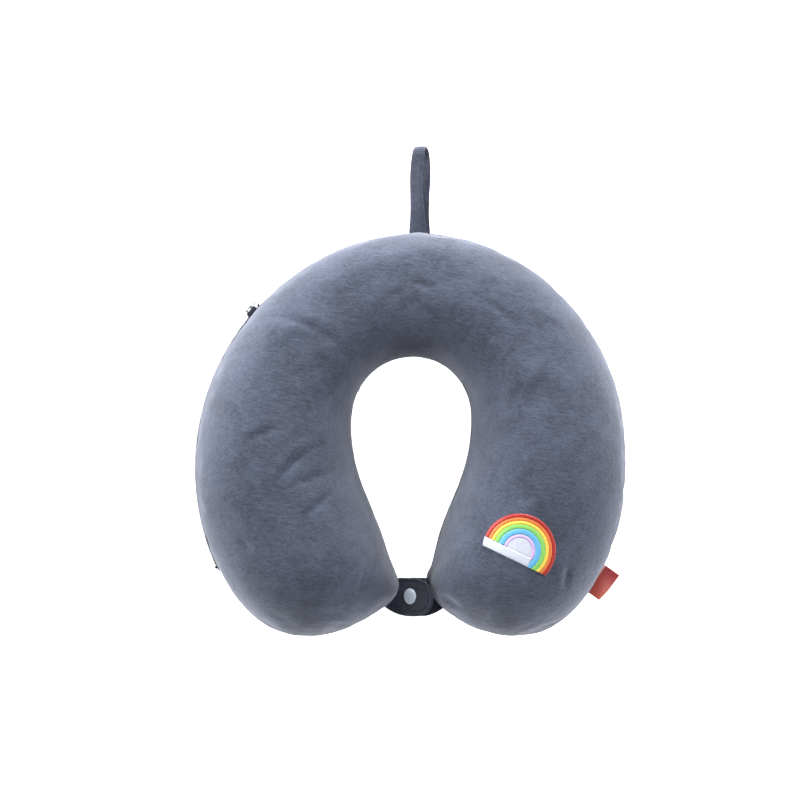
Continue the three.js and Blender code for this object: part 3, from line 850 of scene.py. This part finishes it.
class Nodes:
    """Short names for the nodes of one procedural material."""

    def __init__(self, name, colour, **constants):
        self.material = bpy.data.materials.new(name)
        self.material.use_nodes = True
        self.tree = self.material.node_tree
        self.shader = self.tree.nodes["Principled BSDF"]
        self.shader.inputs["Base Color"].default_value = (*colour, 1)
        for socket, value in constants.items():
            self.shader.inputs[socket.replace("_", " ")].default_value = value
        self.place = self.tree.nodes.new("ShaderNodeTexCoord").outputs["Object"]

    def link(self, source, target):
        self.tree.links.new(source, target)

    def add(self, kind, links=(), **values):
        node = self.tree.nodes.new(f"ShaderNode{kind}")
        for key, value in values.items():
            setattr(node, key, value)
        for socket, source in links:
            if hasattr(source, "links"):
                self.link(source, node.inputs[socket])
            else:
                node.inputs[socket].default_value = source
        return node

    def scaled(self, scale, turn=0.0):
        """The place in a frame turned about Z, its axes stretched by scale."""
        stretch = tuple(1 / value for value in scale)
        links = (("Vector", self.place), ("Scale", stretch), ("Rotation", (0, 0, turn)))
        return self.add("Mapping", links, vector_type="TEXTURE").outputs["Vector"]

    def round_about(self, centre):
        """Length along and across rings about a vertical axis, as a place for a texture."""
        away = self.add("VectorMath", ((0, self.place), (1, (*centre, 0))), operation="SUBTRACT")
        parts = self.add("SeparateXYZ", (("Vector", away.outputs["Vector"]),)).outputs
        angle = self.math("ARCTAN2", parts["Y"], parts["X"])
        radius = self.math("SQRT", self.math("ADD", self.math("POWER", parts["X"], 2.0),
                                             self.math("POWER", parts["Y"], 2.0)))
        links = (("X", self.math("MULTIPLY", angle, 0.018)), ("Y", self.math("MULTIPLY", radius, 0.16)))
        return self.add("CombineXYZ", links).outputs["Vector"]

    def along(self, origin, direction):
        """Distance from origin along a direction."""
        away = self.add("VectorMath", ((0, self.place), (1, tuple(origin))), operation="SUBTRACT")
        links = ((0, away.outputs["Vector"]), (1, tuple(direction)))
        return self.add("VectorMath", links, operation="DOT_PRODUCT").outputs["Value"]

    def noise(self, scale, detail=2.0, roughness=0.5, distortion=0.0, place=None):
        links = (
            ("Vector", place or self.place), ("Scale", scale), ("Detail", detail),
            ("Roughness", roughness), ("Distortion", distortion),
        )
        return self.add("TexNoise", links).outputs["Fac"]

    def spread(self, value, low, high, to_low=0.0, to_high=1.0):
        links = (
            ("Value", value), ("From Min", low), ("From Max", high),
            ("To Min", to_low), ("To Max", to_high),
        )
        return self.add("MapRange", links, clamp=True).outputs["Result"]

    def math(self, operation, a, b=0.0):
        return self.add("Math", ((0, a), (1, b)), operation=operation).outputs["Value"]

    def mix(self, share, a, b):
        node = self.add("Mix", data_type="RGBA")
        sockets = [s for s in node.inputs if s.name in ("A", "B") and s.type == "RGBA"]
        self.link(share, node.inputs["Factor"])
        for socket, value in zip(sockets, (a, b)):
            if hasattr(value, "links"):
                self.link(value, socket)
            else:
                socket.default_value = (*value, 1)
        return next(s for s in node.outputs if s.type == "RGBA")

    def colour(self, value):
        self.link(value, self.shader.inputs["Base Color"])

    def bump(self, height, strength, distance):
        links = [("Height", height), ("Strength", strength), ("Distance", distance)]
        if self.shader.inputs["Normal"].links:
            links.append(("Normal", self.shader.inputs["Normal"].links[0].from_socket))
        node = self.add("Bump", links)
        self.link(node.outputs["Normal"], self.shader.inputs["Normal"])


def tone(colour, factor):
    return tuple(min(1.0, channel * factor) for channel in colour)


def velour(name, colour):
    """Short brushed pile: soft patches where it lies one way or another, fine level ripples, grain."""
    nodes = Nodes(
        name, colour, Roughness=0.95, Sheen_Weight=0.34, Sheen_Roughness=0.55,
        Sheen_Tint=(0.86, 0.89, 0.98, 1), Specular_IOR_Level=0.1,
    )
    broad = nodes.spread(nodes.noise(32, 3, 0.55, 0.5), 0.36, 0.64)
    brushed = nodes.spread(nodes.noise(90, 4, 0.65, 0.8, nodes.scaled((0.7, 1.0, 1.0), 0.35)), 0.34, 0.66)
    ripples = nodes.spread(nodes.noise(1, 3, 0.65, 1.1, nodes.scaled((170, 760, 760), -0.12)), 0.38, 0.62)
    grain = nodes.spread(nodes.noise(900, 3, 0.7), 0.35, 0.65)
    value = 0.0
    for layer, share in ((broad, 0.24), (brushed, 0.20), (ripples, 0.38), (grain, 0.18)):
        value = nodes.math("ADD", nodes.math("MULTIPLY", layer, share), value)
    nodes.colour(nodes.mix(value, tone(colour, 0.34), tone(colour, 1.72)))
    nodes.bump(broad, 0.2, 0.7 * MM)
    nodes.bump(brushed, 0.3, 0.35 * MM)
    nodes.bump(ripples, 0.5, 0.12 * MM)
    nodes.bump(grain, 0.5, 0.1 * MM)
    return nodes.material


def plain(name, colour, **constants):
    nodes = Nodes(name, colour, **constants)
    nodes.colour(nodes.mix(nodes.noise(420, 3), tone(colour, 0.85), tone(colour, 1.12)))
    nodes.bump(nodes.noise(2500, 2), 0.12, 0.05 * MM)
    return nodes.material


def woven(name, colour, density):
    nodes = Nodes(name, colour, Roughness=0.85, Sheen_Weight=0.2)
    waves = [
        nodes.add("TexWave", (("Vector", nodes.place), ("Scale", density / 20), ("Distortion", 0.4)),
                  bands_direction=axis).outputs["Fac"]
        for axis in ("Z", "Y")
    ]
    weave = nodes.math("MULTIPLY", *waves)
    nodes.colour(nodes.mix(weave, tone(colour, 0.7), tone(colour, 1.3)))
    nodes.bump(weave, 0.5, 0.15 * MM)
    return nodes.material


def thread(name, colour, round_stitches):
    """Satin stitches: glossy thread in fine uneven ridges, across the rings or across the strip."""
    nodes = Nodes(name, colour, Roughness=0.5, Sheen_Weight=0.12, Specular_IOR_Level=0.35)
    place = nodes.scaled((1.0, 0.1, 0.1), PATCH_TURN)
    if round_stitches:
        place = nodes.round_about(PATCH_PLACE)
    stitches = nodes.noise(2200, 1, 0.5, 0.0, place)
    shade = nodes.spread(stitches, 0.3, 0.7)
    nodes.colour(nodes.mix(shade, tone(colour, 0.86), tone(colour, 1.08)))
    nodes.bump(stitches, 0.35, 0.15 * MM)
    return nodes.material


def label_satin(root, outward):
    """Glossy red weave, with painted light and shade: lighter orange at one end and darker crimson at the
    other. A painted highlight makes it pale where it leaves the seam.
    """
    nodes = Nodes("label_satin", (0.36, 0.03, 0.035), Roughness=0.45, Specular_IOR_Level=0.35)
    axis = Vector((-outward.y, outward.x, 0))
    share = nodes.spread(nodes.along(root, axis), -LABEL_WIDTH / 2, LABEL_WIDTH / 2)
    # painted light and shade across the label's width: lighter orange at one end, darker crimson at the
    # other
    red = nodes.mix(share, (0.46, 0.09, 0.055), (0.22, 0.004, 0.02))
    weave = nodes.noise(1, 1, 0.5, 0.0, nodes.scaled((2400, 500, 2400), LABEL_ANGLE))
    red = nodes.mix(nodes.spread(weave, 0.3, 0.7, 0.0, 0.2), red, (0.55, 0.12, 0.10))
    # painted highlight: a pale line along the root edge, where the label leaves the seam
    edge = nodes.spread(nodes.along(root, outward), 0.6 * MM, 1.3 * MM, 0.75, 0.0)
    nodes.colour(nodes.mix(edge, red, (0.62, 0.42, 0.38)))
    nodes.bump(weave, 0.3, 0.1 * MM)
    return nodes.material


def build_filling():
    """The liner and the foam inside the cover."""
    liner = woven("liner_knit", (0.22, 0.225, 0.25), 1600)
    foam = Nodes("foam", (0.72, 0.62, 0.38), Roughness=0.9)
    cells = foam.add("TexVoronoi", (("Vector", foam.place), ("Scale", 700))).outputs["Distance"]
    foam.colour(foam.mix(cells, (0.55, 0.45, 0.25), (0.80, 0.71, 0.48)))
    foam.bump(cells, 0.6, 0.4 * MM)
    paint("liner_top", liner)
    paint("liner_bottom", liner)
    paint("foam_core", foam.material)


# Studio

def build_studio():
    floor = mesh_from("floor", [(-4, -4, 0), (4, -4, 0), (4, 4, 0), (-4, 4, 0)], [(0, 1, 2, 3)])
    floor.data.materials.append(Nodes(
        "floor", (0.95, 0.95, 0.95), Roughness=0.9, Emission_Color=(1, 1, 1, 1),
        Emission_Strength=FLOOR_GLOW,
    ).material)
    world = bpy.data.worlds.new("studio")
    world.use_nodes = True
    nodes, links = world.node_tree.nodes, world.node_tree.links
    height = nodes.new("ShaderNodeSeparateXYZ")
    links.new(nodes.new("ShaderNodeTexCoord").outputs["Generated"], height.inputs["Vector"])
    strength = nodes.new("ShaderNodeMapRange")
    links.new(height.outputs["Z"], strength.inputs["Value"])
    strength.inputs["To Min"].default_value = WORLD_HORIZON
    strength.inputs["To Max"].default_value = WORLD_ZENITH
    links.new(strength.outputs["Result"], nodes["Background"].inputs["Strength"])
    nodes["Background"].inputs["Color"].default_value = (1, 1, 1, 1)
    bpy.context.scene.world = world
    for name, round_, above, power in LIGHTS:
        light = bpy.data.lights.new(name, "AREA")
        light.size = LIGHT_SIZE
        light.energy = power
        obj = new_object(name, light)
        level = math.cos(math.radians(above))
        way = Vector((
            level * math.cos(math.radians(round_)),
            level * math.sin(math.radians(round_)),
            math.sin(math.radians(above)),
        ))
        obj.location = way * LIGHT_DISTANCE
        obj.rotation_euler = way.to_track_quat("Z", "Y").to_euler()
    bpy.context.scene.view_settings.view_transform = "Standard"


def build_camera():
    camera = bpy.data.cameras.new("camera")
    camera.sensor_width = 36
    camera.lens = camera.sensor_width * CAMERA_DISTANCE / VIEW_WIDTH
    camera.clip_end = 20
    obj = new_object("camera", camera)
    away = Vector((-math.sin(CAMERA_LEAN), 0, math.cos(CAMERA_LEAN)))
    obj.location = CAMERA_TARGET + CAMERA_DISTANCE * away
    obj.rotation_euler = (0, -CAMERA_LEAN, 0)
    bpy.context.scene.camera = obj


top, bottom = build_cover()
cover = tree_of(top, bottom)
build_filling()
build_zip()
build_loop()
build_closure(cover)
build_label()
build_patch(cover)
build_studio()
build_camera()
